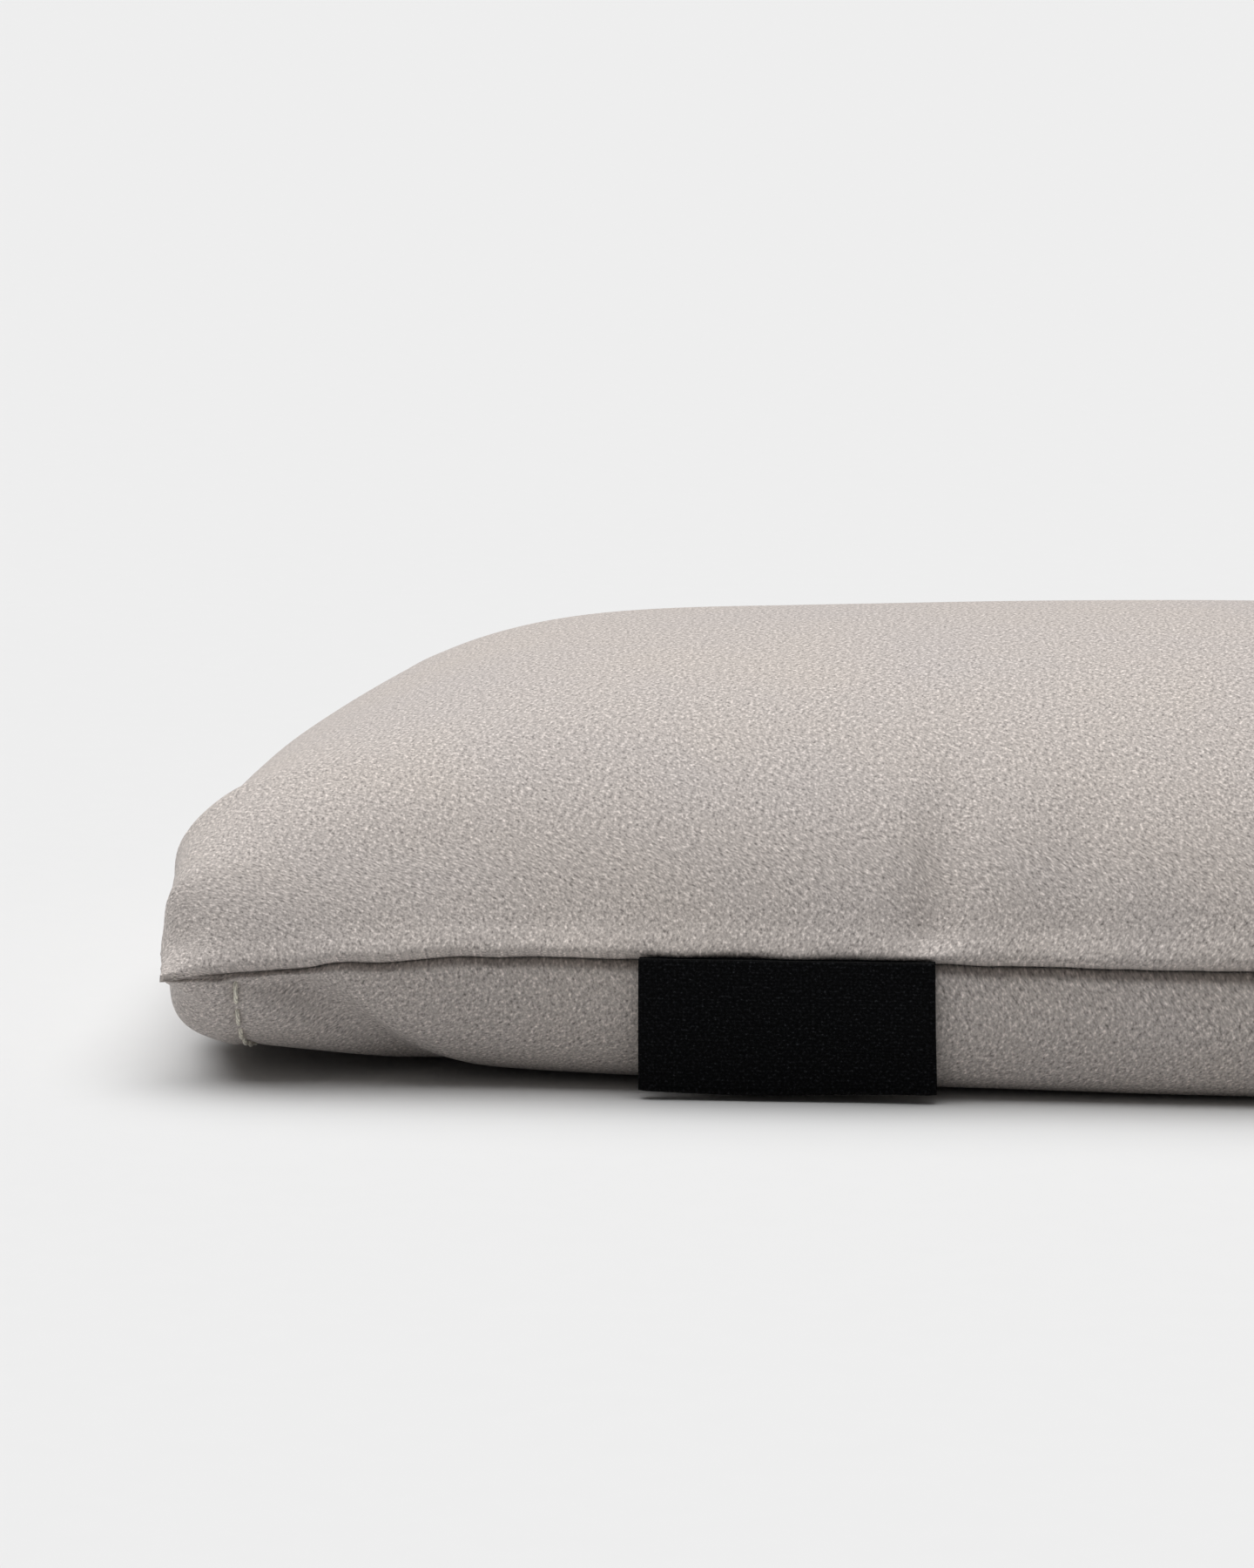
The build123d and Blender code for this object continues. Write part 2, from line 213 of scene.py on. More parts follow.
def inflate(vertices, faces):
    """Fills the cover with Blender's Cloth over a floor, at ten times size, and gives its points."""
    mesh = bpy.data.meshes.new("sim_cover")
    mesh.from_pydata((vertices * SIM_SCALE).tolist(), [], faces)
    bag = bpy.data.objects.new("sim_cover", mesh)
    bpy.context.scene.collection.objects.link(bag)
    ground = square_object("sim_ground", SIM_GROUND)
    ground.modifiers.new("Collision", "COLLISION")
    ground.collision.thickness_outer = 0.01
    ground.collision.cloth_friction = 5.0
    cloth = bag.modifiers.new("Cloth", "CLOTH")
    settings = cloth.settings
    settings.quality = 8
    settings.mass = 0.1
    settings.air_damping = 3.0
    settings.tension_stiffness = 40.0
    settings.compression_stiffness = 40.0
    settings.shear_stiffness = 10.0
    settings.bending_stiffness = 0.5
    settings.use_pressure = True
    settings.uniform_pressure_force = 0.0
    settings.use_pressure_volume = True
    settings.target_volume = SIM_VOLUME * SIM_SCALE**3
    settings.pressure_factor = 100.0
    settings.fluid_density = SIM_FLUID
    cloth.collision_settings.use_self_collision = False
    cloth.collision_settings.distance_min = 0.005
    scene = bpy.context.scene
    for number in range(1, SIM_FRAMES + 1):
        scene.frame_set(number)
    graph = bpy.context.evaluated_depsgraph_get()
    settled = bag.evaluated_get(graph).data
    points = np.empty(len(settled.vertices) * 3)
    settled.vertices.foreach_get("co", points)
    points = points.reshape(-1, 3) / SIM_SCALE
    for thing in (bag, ground):
        data = thing.data
        bpy.data.objects.remove(thing)
        bpy.data.meshes.remove(data)
    scene.frame_set(1)
    return points


def simulated_grids():
    """The top and bottom cloth of the filled cover, each as a grid of points over its cut."""
    vertices, faces, index, columns, rows = start_shape()
    points = vertices.copy()
    points = inflate(vertices, faces)
    grids = []
    for side in (1, -1):
        grid = np.empty((columns + 1, rows + 1, 3))
        for i in range(columns + 1):
            for j in range(rows + 1):
                on_seam = i in (0, columns) or j in (0, rows)
                grid[i, j] = points[index[(i, j, 0 if on_seam else side)]]
        grids.append(grid)
    return grids


def fit_to_frame(top, bottom):
    """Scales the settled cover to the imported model's sizes, and makes its side seams straight."""
    both = np.concatenate([top.reshape(-1, 3), bottom.reshape(-1, 3)])
    low, high = both.min(axis=0), both.max(axis=0)
    middle = (low + high) / 2
    scale = np.array([2 * HALF_LENGTH, 2 * HALF_WIDTH, TOP_Z]) / (high - low)
    base = np.array([middle[0], middle[1], low[2]])
    for grid in (top, bottom):
        grid[:] = (grid - base) * scale
    # the simulated filling draws the middle of the side seams in, and this takes them out again
    for column in (0, -1):
        seam_y = top[:, column, 1].copy()
        stretch = (HALF_WIDTH - SEAM_INSIDE) / np.abs(seam_y)
        for grid in (top, bottom):
            near = np.clip(grid[..., 1] / seam_y[:, None], 0, 1)
            grid[..., 1] *= 1 + (stretch[:, None] - 1) * near


def relaxed(grid, rounds=14):
    """Smooths the creases that the sewn corners leave in the cloth over the open flap end."""
    for _ in range(rounds):
        inner = grid[1:-1, 1:-1]
        around = grid[:-2, 1:-1] + grid[2:, 1:-1] + grid[1:-1, :-2] + grid[1:-1, 2:]
        share = 1 / (1 + np.exp((inner[..., :1] + HALF_LENGTH - 0.050) / 0.008))
        grid[1:-1, 1:-1] = inner + 0.5 * share * (around / 4 - inner)
    return grid


def hill(distance, width):
    """A smooth bump that is 1 at distance 0 and dies away over the width."""
    return np.exp(-((distance / width) ** 2))


def fill_flap_end(grid):
    """Makes the open flap end blunt, as a folded end is, where a sewn end would be pinched."""
    x, y, z = (grid[..., k].copy() for k in range(3))
    end_x = grid[0, :, 0][None, :]
    x -= (end_x + HALF_LENGTH) * 0.8 * hill(x - end_x, 0.030)
    share = np.clip((x + HALF_LENGTH) / END_REACH, 0, 1)
    fuller = END_REACH * (0.85 * share**END_FULLNESS + 0.15 * share) - HALF_LENGTH
    x = np.where(x + HALF_LENGTH < END_REACH, fuller, x)
    inward = x + HALF_LENGTH
    give_way = np.where(
        z > SEAM_Z,
        np.clip((TOP_Z - z) / (TOP_Z - SEAM_Z), 0, 1),
        np.clip(z / SEAM_Z, 0, 1) ** 0.5,
    )
    # the front corner droops, and the back one droops and draws in
    front_corner = hill(inward, 0.014) * hill(HALF_WIDTH - np.abs(y), 0.020) * (y < 0)
    z -= FRONT_CORNER_DROOP * front_corner * give_way
    x += CORNER_CUT * hill(inward, 0.010) * hill(HALF_WIDTH - np.abs(y), 0.016)
    x -= CORNER_CHEEK * hill(inward, 0.012) * hill(z - 0.0165, 0.005) * hill(y + 0.038, 0.014)
    back_corner = hill(inward, 0.030) * hill(HALF_WIDTH - y, 0.030)
    z -= BACK_CORNER_DROOP * back_corner * give_way
    x += BACK_CORNER_DROOP * back_corner
    # the end's underside lifts off the floor, and the front stands squarer beyond it
    z += END_LIFT * hill(inward, 0.020) * np.clip(1 - z / SEAM_Z, 0, 1)
    along = 1 / (1 + np.exp(-(inward - 0.020) / 0.006))
    square = SEAM_Z * np.clip(z / SEAM_Z, 0, 1) ** (1 + FRONT_SQUARENESS * along)
    z = np.where(z < SEAM_Z, square, z)
    above = np.clip((z - SEAM_Z) / 0.008, 0, 1)
    z -= END_SINK * hill(inward - 0.012, 0.014) * above
    z += END_CROWN * hill(inward - 0.016, 0.016) * above * np.cos(math.pi * y / 2 / HALF_WIDTH) ** 2
    # the filling bows the end outwards between its corners
    x -= END_BOW * hill(y, 0.028) * hill(inward, 0.025)
    grid[..., 0], grid[..., 1], grid[..., 2] = x, y, z


# ------------------------------------------------------------------ surfaces from the grids
def spline_weights(count, places):
    """Weights that read a row of count points at fractional places, by Catmull-Rom splines."""
    places = np.clip(np.asarray(places, float), 0, count - 1)
    cell = np.minimum(places.astype(int), count - 2)
    t = places - cell
    weights = np.zeros((len(places), count))
    rows = np.arange(len(places))
    parts = (
        (-1, -0.5 * t + t**2 - 0.5 * t**3),
        (0, 1 - 2.5 * t**2 + 1.5 * t**3),
        (1, 0.5 * t + 2 * t**2 - 1.5 * t**3),
        (2, -0.5 * t**2 + 0.5 * t**3),
    )
    for step, amount in parts:
        node = cell + step
        outside_low = node < 0
        outside_high = node > count - 1
        inside = ~(outside_low | outside_high)
        weights[rows[inside], node[inside]] += amount[inside]
        # past an end the row goes on straight
        weights[rows[outside_low], 0] += 2 * amount[outside_low]
        weights[rows[outside_low], 1] -= amount[outside_low]
        weights[rows[outside_high], count - 1] += 2 * amount[outside_high]
        weights[rows[outside_high], count - 2] -= amount[outside_high]
    return weights


def read_grid(grid, u, v):
    """Points of a grid at shares u along its length and v across it."""
    along = spline_weights(grid.shape[0], np.asarray(u) * (grid.shape[0] - 1))
    across = spline_weights(grid.shape[1], np.asarray(v) * (grid.shape[1] - 1))
    return np.einsum("ai,ijk,bj->abk", along, grid, across)


def evened(grid, finer=2):
    """The same surface, with finer points along it that are evenly spaced along each row."""
    count = grid.shape[0]
    dense_u = np.linspace(0, 1, 8 * (count - 1) + 1)
    dense = read_grid(grid, dense_u, np.linspace(0, 1, grid.shape[1]))
    result = np.empty((finer * (count - 1) + 1, grid.shape[1], 3))
    for j in range(grid.shape[1]):
        row = dense[:, j]
        travelled = np.concatenate([[0], np.cumsum(np.linalg.norm(np.diff(row, axis=0), axis=1))])
        wanted = np.linspace(0, travelled[-1], len(result))
        for axis in range(3):
            result[:, j, axis] = np.interp(wanted, travelled, row[:, axis])
    return result


def graded(length, fine, coarse, band):
    """Shares from 0 to 1 along a length, in fine steps near both ends and coarse ones between."""
    steps, place = [0.0], 0.0
    while place < length / 2:
        grown = np.clip((place - band) / (3 * band), 0, 1)
        place += fine + (coarse - fine) * grown
        steps.append(place)
    steps = np.array(steps) * (length / 2 / steps[-1])
    half = steps / length
    return np.concatenate([half[:-1], [0.5], 1 - half[:-1][::-1]])


def grid_normals(points):
    """Unit normals of a grid of points, by differences along and across it."""
    along = np.gradient(points, axis=0)
    across = np.gradient(points, axis=1)
    normal = np.cross(along, across)
    length = np.linalg.norm(normal, axis=-1, keepdims=True)
    return normal / np.maximum(length, 1e-12)


def flat_places(u, v):
    """Places on the flat cover cloth, along and across it, of a grid at shares u and v."""
    return np.meshgrid(u * FLAT_LENGTH, v * FLAT_WIDTH, indexing="ij")


def smooth_noise(x, y, seed, wave):
    """A smooth repeatable wobble of a few sines, about -1 to 1, with features of size wave.

    y is 0 for a wobble along one line.
    """
    source = np.random.default_rng(seed)
    total = np.zeros(np.broadcast(x, y).shape)
    for _ in range(6):
        angle = source.uniform(0, 2 * math.pi)
        length = wave * source.uniform(0.7, 1.6)
        phase = source.uniform(0, 2 * math.pi)
        travelled = x * math.cos(angle) + y * math.sin(angle)
        total += np.sin(2 * math.pi * travelled / length + phase)
    return total / 3.5


def grid_quads(number):
    """The four-sided faces of a grid, from the numbers of its points."""
    a, b = number[:-1, :-1].ravel(), number[1:, :-1].ravel()
    c, d = number[1:, 1:].ravel(), number[:-1, 1:].ravel()
    return np.stack([a, b, c, d], axis=1)


def mesh_object(name, vertices, faces, cloth_uv=None):
    """A smooth mesh object; cloth_uv, where given, is each point's place on the flat cloth."""
    mesh = bpy.data.meshes.new(name)
    mesh.from_pydata(np.asarray(vertices).tolist(), [], [list(face) for face in faces])
    mesh.validate()
    mesh.shade_smooth()
    if cloth_uv is not None:
        attribute = mesh.attributes.new("cloth", "FLOAT_VECTOR", "POINT")
        flat = np.zeros((len(vertices), 3), np.float32)
        flat[:, : cloth_uv.shape[1]] = cloth_uv
        attribute.data.foreach_set("vector", flat.ravel())
    thing = bpy.data.objects.new(name, mesh)
    bpy.context.scene.collection.objects.link(thing)
    return thing


def shell_from_grid(name, points, thickness, flat, flip=False, normals=None):
    """A closed thin cloth: the grid as its outside, a copy set in by thickness, and a rim.

    flip is for a grid whose outside is its underside.
    """
    columns, rows = points.shape[:2]
    if normals is None:
        normals = grid_normals(points) * (-1 if flip else 1)
    inner = points - normals * thickness
    vertices = np.concatenate([points.reshape(-1, 3), inner.reshape(-1, 3)])
    number = np.arange(columns * rows).reshape(columns, rows)
    outside = grid_quads(number)
    if flip:
        outside = outside[:, ::-1]
    inside = outside[:, ::-1] + columns * rows
    border = np.concatenate([number[:, 0], number[-1, 1:], number[-2::-1, -1], number[0, -2:0:-1]])
    following = np.roll(border, -1)
    rim = np.stack([following, border, border + columns * rows, following + columns * rows], axis=1)
    if flip:
        rim = rim[:, ::-1]
    faces = np.concatenate([outside, inside, rim])
    uv = np.concatenate([flat.reshape(-1, 2), flat.reshape(-1, 2)])
    return mesh_object(name, vertices, faces, uv)


# ------------------------------------------------------------------ cover
def seam_profile(is_top, edge, along):
    """How far the cloth stands out from its smooth surface near the seam, by distance from it.

    The top cloth rolls over the seam in a lip, and the bottom one is drawn in under that lip.
    """
    edge = edge / MM
    along = along / MM
    tuck = -SEAM_TUCK * np.clip(1 - edge / 0.8, 0, 1) ** 1.6
    pucker = np.sin(2 * math.pi * along / (STITCH_PITCH / MM))
    ripple = smooth_noise(along, 0, 3, 9.0)
    fade = hill(edge, 2.2)
    if is_top:
        lip = SEAM_LIP * hill(edge - 1.0, 1.2)
        return (tuck + lip + fade * (0.035 * pucker + 0.10 * ripple)) * MM
    recess = -SEAM_RECESS * hill(edge, 2.8)
    return (tuck + recess + fade * (0.03 * pucker + 0.06 * ripple)) * MM


def cover_surface(grid, is_top, u, v):
    """The detailed outside of one cover panel: its points, normals and places on the flat cloth."""
    points = read_grid(grid, u, v)
    normals = grid_normals(points)
    if not is_top:
        normals = -normals
    sheet_u, sheet_v = flat_places(u, v)
    edges = np.stack([sheet_v, FLAT_WIDTH - sheet_v, sheet_u, FLAT_LENGTH - sheet_u], axis=0)
    nearest = edges.argmin(axis=0)
    edge = edges.min(axis=0)
    along = np.where(nearest < 2, sheet_u, sheet_v)

    # close to the seam the cloth moves straight out from it, not along its own normal
    rim = np.array([[0, -1, 0], [0, 1, 0], [-1, 0, 0], [1, 0, 0]], float)
    closeness = np.exp(-edges / (2.0 * MM))
    seam_out = np.einsum("nij,nk->ijk", closeness, rim)
    seam_out /= np.maximum(np.linalg.norm(seam_out, axis=-1, keepdims=True), 1e-9)
    blend = hill(edge, 2.5 * MM)[..., None]
    direction = normals * (1 - blend) + seam_out * blend
    direction /= np.maximum(np.linalg.norm(direction, axis=-1, keepdims=True), 1e-9)

    # the two cloths meet in a point at each corner, where they are tucked in less
    from_corner = np.hypot(edges[:2].min(axis=0), edges[2:].min(axis=0))
    out = seam_profile(is_top, edge, along) * (1 - 0.6 * hill(from_corner, 3.5 * MM))
    points = points + direction * out[..., None]
    wander = smooth_noise(along, 0, 5, 9.0 * MM)
    wander += 0.5 * smooth_noise(along, 0, 6, 4.5 * MM)
    points[..., 2] += SEAM_WANDER * wander * hill(edge, 3.5 * MM)
    points = points + normals * soft_dents(points, is_top, edge, sheet_u, sheet_v)[..., None]
    return points, normals, sheet_u, sheet_v


def soft_dents(points, is_top, edge, sheet_u, sheet_v):
    """Gentle hollows and puckers where the cloth gives between the seam and the filling."""
    x, y = points[..., 0], points[..., 1]
    inner = 1 - hill(edge, 6 * MM)
    dents = 0.10 * MM * smooth_noise(x, y, 11, 0.060) * inner
    dents += 0.02 * MM * smooth_noise(x, y, 12, 0.020) * inner
    # seam puckers run in from the seam, and die away over a centimetre or two
    band = hill(edge, 9 * MM) * (1 - hill(edge, 1.5 * MM))
    from_side = np.minimum(sheet_v, FLAT_WIDTH - sheet_v)
    from_end = np.minimum(sheet_u, FLAT_LENGTH - sheet_u)
    runs = np.where(from_side < from_end, sheet_u, sheet_v)
    dents += 0.10 * MM * smooth_noise(runs, 0, 13 if is_top else 14, 0.016) * band
    if is_top:
        # the crease over the label's right edge, and fainter ones on both sides of it
        for start, lean, width, depth, reach in (
            (label_box[1][0] - 0.5 * MM, 0.10, 2.0 * MM, 1.5 * MM, 10 * MM),
            (label_box[1][0] + 9 * MM, 0.30, 3.0 * MM, 0.45 * MM, 12 * MM),
            (label_box[0][0] - 5 * MM, -0.20, 5.0 * MM, 0.30 * MM, 16 * MM),
        ):
            inward = y + HALF_WIDTH
            fall = hill(inward, reach) * (1 - hill(edge, 1.6 * MM))
            dents -= depth * hill(x - (start + lean * inward), width) * fall * (y < 0)
    else:
        # the turned hem is a doubled cloth, with a step and a dip along its stitches
        hem = x - HEM_X
        dents += HEM_STEP / (1 + np.exp(np.clip(hem / (0.22 * MM), -50, 50)))
        dents -= HEM_DIP * hill(hem, 0.55 * MM)
        # the pull of the hem row leaves a slanting hollow beside it at the front
        hollow = hill(hem - 3 * MM - 0.8 * sheet_v, 3.0 * MM) * hill(sheet_v, 12 * MM)
        dents -= HEM_HOLLOW * hollow * (1 - hill(edge, 2 * MM))
    return dents


def make_cover(top, bottom):
    """Both cover panels as closed thin cloths, each with the points of its outside."""
    u = graded(FLAT_LENGTH, 0.30 * MM, 0.85 * MM, 2.2 * MM)
    v = graded(FLAT_WIDTH, 0.22 * MM, 1.3 * MM, 2.2 * MM)
    # the bottom panel has fine columns as far in as its hem reaches
    near_end = np.arange(0, 0.022, 0.28 * MM) / FLAT_LENGTH
    u_low = np.concatenate([near_end, u[u > near_end[-1] + 0.2 * MM / FLAT_LENGTH]])
    made = []
    for name, grid, is_top, along in (
        ("cover_top", top, True, u),
        ("cover_bottom", bottom, False, u_low),
    ):
        points, normals, sheet_u, sheet_v = cover_surface(grid, is_top, along, v)
        flat = np.stack([sheet_u, sheet_v], axis=-1)
        piece = shell_from_grid(name, points, CLOTH, flat, flip=not is_top, normals=normals)
        made.append((piece, points))
    return made


# ------------------------------------------------------------------ threads
# a direction that no stitch runs along
ASIDE = (0.31, 0.17, 0.93)


def tubes(name, lines, radius, sides=7):
    """Closed tubes with tapered ends along many short lines of points, as one mesh."""
    vertices, faces = [], []
    turn = np.linspace(0, 2 * math.pi, sides, endpoint=False)
    for line in lines:
        line = np.asarray(line, float)
        tangent = np.gradient(line, axis=0)
        tangent /= np.maximum(np.linalg.norm(tangent, axis=1, keepdims=True), 1e-12)
        across = np.cross(tangent, ASIDE)
        across /= np.maximum(np.linalg.norm(across, axis=1, keepdims=True), 1e-12)
        upward = np.cross(across, tangent)
        first = len(vertices)
        count = len(line)
        thick = radius * np.ones(count)
        thick[[0, -1]] *= 0.55
        for k in range(count):
            ring = line[k] + thick[k] * (
                np.cos(turn)[:, None] * across[k] + np.sin(turn)[:, None] * upward[k]
            )
            vertices.extend(ring)
        for k in range(count - 1):
            for m in range(sides):
                n = (m + 1) % sides
                a = first + k * sides
                faces.append([a + m, a + n, a + sides + n, a + sides + m])
        faces.append([first + m for m in range(sides)][::-1])
        faces.append([first + (count - 1) * sides + m for m in range(sides)])
    return mesh_object(name, np.array(vertices), faces)


def stitch_lines(path, normals, pitch, length, height, sunk):
    """Short arched lines that lie along a path on a cloth and dive into it at both ends."""
    step = np.linalg.norm(np.diff(path, axis=0), axis=1)
    travelled = np.concatenate([[0], np.cumsum(step)])
    count = int((travelled[-1] - length) / pitch) + 1
    lines = []
    for k in range(count):
        start = k * pitch + 0.5 * (travelled[-1] - (count - 1) * pitch - length)
        t = np.linspace(0, 1, 9)
        at = start + t * length
        centre = np.stack([np.interp(at, travelled, path[:, a]) for a in range(3)], axis=1)
        outward = np.stack([np.interp(at, travelled, normals[:, a]) for a in range(3)], axis=1)
        rise = -sunk + (height + sunk) * np.sin(math.pi * t) ** 0.45
        lines.append(centre + outward * rise[:, None])
    return lines


def row_at_x(points, normals, x):
    """The line where a panel crosses a place along the pillow, with its normals."""
    path, facing = [], []
    for j in range(points.shape[1]):
        column = int(np.argmax(points[:, j, 0] > x))
        before, after = points[column - 1, j, 0], points[column, j, 0]
        share = (x - before) / (after - before)
        path.append(points[column - 1, j] * (1 - share) + points[column, j] * share)
        facing.append(normals[column, j])
    return np.array(path), np.array(facing)


def seam_path(grid, depth):
    """The line of the cover's seam, moved in behind its lips: front, right end, then back."""
    along = np.linspace(0.10, 0.985, 240)
    across = np.linspace(0.02, 0.98, 110)
    front = read_grid(grid, along, [0.0])[:, 0] + np.array([0, depth, 0])
    end = read_grid(grid, [1.0], across)[0] + np.array([-depth, 0, 0])
    back = read_grid(grid, along[::-1], [1.0])[:, 0] + np.array([0, -depth, 0])
    path = np.concatenate([front, end, back])
    upward = np.tile([0.0, 0.0, 1.0], (len(path), 1))
    return path, upward


# ------------------------------------------------------------------ node helpers
class Nodes:
    """A new material with short calls for adding and joining its nodes."""

    def __init__(self, name):
        self.material = bpy.data.materials.new(name)
        self.material.use_nodes = True
        self.tree = self.material.node_tree
        self.tree.nodes.clear()
        self.output = self.add("ShaderNodeOutputMaterial")
        self.shader = self.add("ShaderNodeBsdfPrincipled")
        self.join(self.shader.outputs[0], self.output.inputs[0])

    def add(self, kind, **values):
        """A new node of a kind, with its settings."""
        node = self.tree.nodes.new(kind)
        for key, value in values.items():
            setattr(node, key, value)
        return node

    def join(self, source, target):
        """Links an output socket to an input socket."""
        self.tree.links.new(source, target)

    def place(self, attribute=None):
        """The vector that textures read: the place on the flat cloth, or the object's own space."""
        if attribute:
            return self.add("ShaderNodeAttribute", attribute_name=attribute).outputs["Vector"]
        return self.add("ShaderNodeTexCoord").outputs["Object"]

    def noise(self, vector, scale, detail=2.0, roughness=0.5):
        """Smooth noise with about scale features to the metre."""
        node = self.add("ShaderNodeTexNoise")
        node.inputs["Scale"].default_value = scale
        node.inputs["Detail"].default_value = detail
        node.inputs["Roughness"].default_value = roughness
        self.join(vector, node.inputs["Vector"])
        return node.outputs["Fac"]

    def turned(self, vector, angle, stretch=(1, 1, 1)):
        """A vector turned about Z, with its axes scaled."""
        node = self.add("ShaderNodeMapping")
        node.inputs["Rotation"].default_value = (0, 0, angle)
        node.inputs["Scale"].default_value = stretch
        self.join(vector, node.inputs["Vector"])
        return node.outputs[0]

    def wave(self, vector, period, distortion=0.0, detail_scale=1.0):
        """Ribs across X, a period apart."""
        node = self.add("ShaderNodeTexWave", wave_type="BANDS", bands_direction="X")
        node.inputs["Scale"].default_value = math.pi / 10 / period
        node.inputs["Distortion"].default_value = distortion
        node.inputs["Detail"].default_value = 1.0
        node.inputs["Detail Scale"].default_value = detail_scale
        self.join(vector, node.inputs["Vector"])
        return node.outputs["Fac"]

    def math(self, operation, first, second):
        """Two values or sockets put together by a math operation."""
        node = self.add("ShaderNodeMath", operation=operation)
        for socket, value in zip(node.inputs, (first, second)):
            if isinstance(value, (int, float)):
                socket.default_value = value
            else:
                self.join(value, socket)
        return node.outputs[0]

    def ramp(self, value, stops):
        """A colour read from stops, each a place and a colour."""
        node = self.add("ShaderNodeValToRGB")
        elements = node.color_ramp.elements
        while len(elements) < len(stops):
            elements.new(0.5)
        for element, (place, colour) in zip(elements, stops):
            element.position = place
            element.color = (*colour, 1)
        self.join(value, node.inputs[0])
        return node.outputs[0]

    def mix(self, factor, first, second, mode="MIX"):
        """Two colours mixed by a factor."""
        node = self.add("ShaderNodeMix", data_type="RGBA", blend_type=mode)
        sockets = (node.inputs[0], node.inputs[6], node.inputs[7])
        for socket, value in zip(sockets, (factor, first, second)):
            if isinstance(value, (int, float)):
                socket.default_value = value
            elif isinstance(value, tuple):
                socket.default_value = (*value, 1)
            else:
                self.join(value, socket)
        return node.outputs[2]

    def bump(self, height, distance, strength):
        """A normal that is tilted by a height."""
        node = self.add("ShaderNodeBump")
        node.inputs["Distance"].default_value = distance
        node.inputs["Strength"].default_value = strength
        self.join(height, node.inputs["Height"])
        return node.outputs[0]

    def finish(self, colour, normal, values):
        """Joins a colour and a normal to the shader, sets its other values, and gives the material."""
        self.join(colour, self.shader.inputs["Base Color"])
        self.join(normal, self.shader.inputs["Normal"])
        for name, value in values.items():
            self.shader.inputs[name].default_value = value
        return self.material


def shade(colour, factor):
    """A colour made lighter or darker by a factor."""
    return tuple(min(1.0, channel * factor) for channel in colour)


# ------------------------------------------------------------------ materials
CLOTH_TONE = 0.80
TWILL_SLANT = math.radians(-52)
slot_colours = {
    entry["slot"]: tuple(entry["base_color"][:3]) for entry in frame["record"]["materials"]
}


def cover_cloth_material():
    """Greige satin twill: fine slanting ribs, a speckled yarn and a soft sheen."""
    nodes = Nodes("cover_cloth")
    colour = slot_colours["cover_cloth"]
    flat = nodes.place("cloth")
    ribs = nodes.wave(nodes.turned(flat, TWILL_SLANT), 0.40 * MM, 5.0, 2.5)
    yarn = nodes.noise(nodes.turned(flat, TWILL_SLANT, (1, 0.7, 1)), 3300, 2.0, 0.65)
    speck = nodes.noise(flat, 5200, 1.0, 0.5)
    cloud = nodes.noise(flat, 42, 3.0, 0.55)
    tone = nodes.math("ADD", nodes.math("MULTIPLY", yarn, 0.62), nodes.math("MULTIPLY", speck, 0.38))
    tone = nodes.math("ADD", tone, nodes.math("MULTIPLY", nodes.math("SUBTRACT", ribs, 0.5), 0.05))
    base = nodes.ramp(
        tone,
        [
            (0.30, shade(colour, 0.34 * CLOTH_TONE)),
            (0.43, shade(colour, 0.77 * CLOTH_TONE)),
            (0.54, shade(colour, 1.04 * CLOTH_TONE)),
            (0.72, shade(colour, 1.90 * CLOTH_TONE)),
        ],
    )
    patches = nodes.ramp(cloud, [(0.35, (0, 0, 0)), (0.65, (1, 1, 1))])
    warm = nodes.mix(patches, (0.965, 0.965, 0.975), (1.0, 0.99, 0.975))
    base = nodes.mix(1.0, base, warm, "MULTIPLY")
    height = nodes.math("ADD", nodes.math("MULTIPLY", ribs, 0.25), nodes.math("MULTIPLY", yarn, 0.9))
    return nodes.finish(
        base,
        nodes.bump(height, 0.05 * MM, 0.7),
        {
            "Roughness": 0.75,
            "Sheen Weight": 0.08,
            "Sheen Roughness": 0.45,
            "Specular IOR Level": 0.28,
        },
    )


def label_material():
    """Black woven label: a fine cross-ribbed weave with a fuzzy, slightly lighter yarn."""
    nodes = Nodes("label_weave")
    flat = nodes.place("cloth")
    ribs = nodes.wave(nodes.turned(flat, math.radians(90)), 0.26 * MM, 4.0, 2.5)
    warp = nodes.wave(flat, 0.22 * MM, 4.0, 2.5)
    fuzz = nodes.noise(flat, 4200, 3.0, 0.65)
    tone = nodes.math("ADD", nodes.math("MULTIPLY", fuzz, 0.92), nodes.math("MULTIPLY", ribs, 0.08))
    base = nodes.ramp(
        tone,
        [
            (0.36, (0.0006, 0.0006, 0.0008)),
            (0.52, (0.0022, 0.0023, 0.0027)),
            (0.62, (0.0085, 0.0088, 0.010)),
            (0.76, (0.045, 0.047, 0.052)),
        ],
    )
    height = nodes.math("ADD", nodes.math("MULTIPLY", ribs, 0.5), nodes.math("MULTIPLY", warp, 0.3))
    height = nodes.math("ADD", height, nodes.math("MULTIPLY", fuzz, 0.7))
    return nodes.finish(
        base,
        nodes.bump(height, 0.09 * MM, 0.8),
        {"Roughness": 0.85, "Sheen Weight": 0.015, "Specular IOR Level": 0.06},
    )


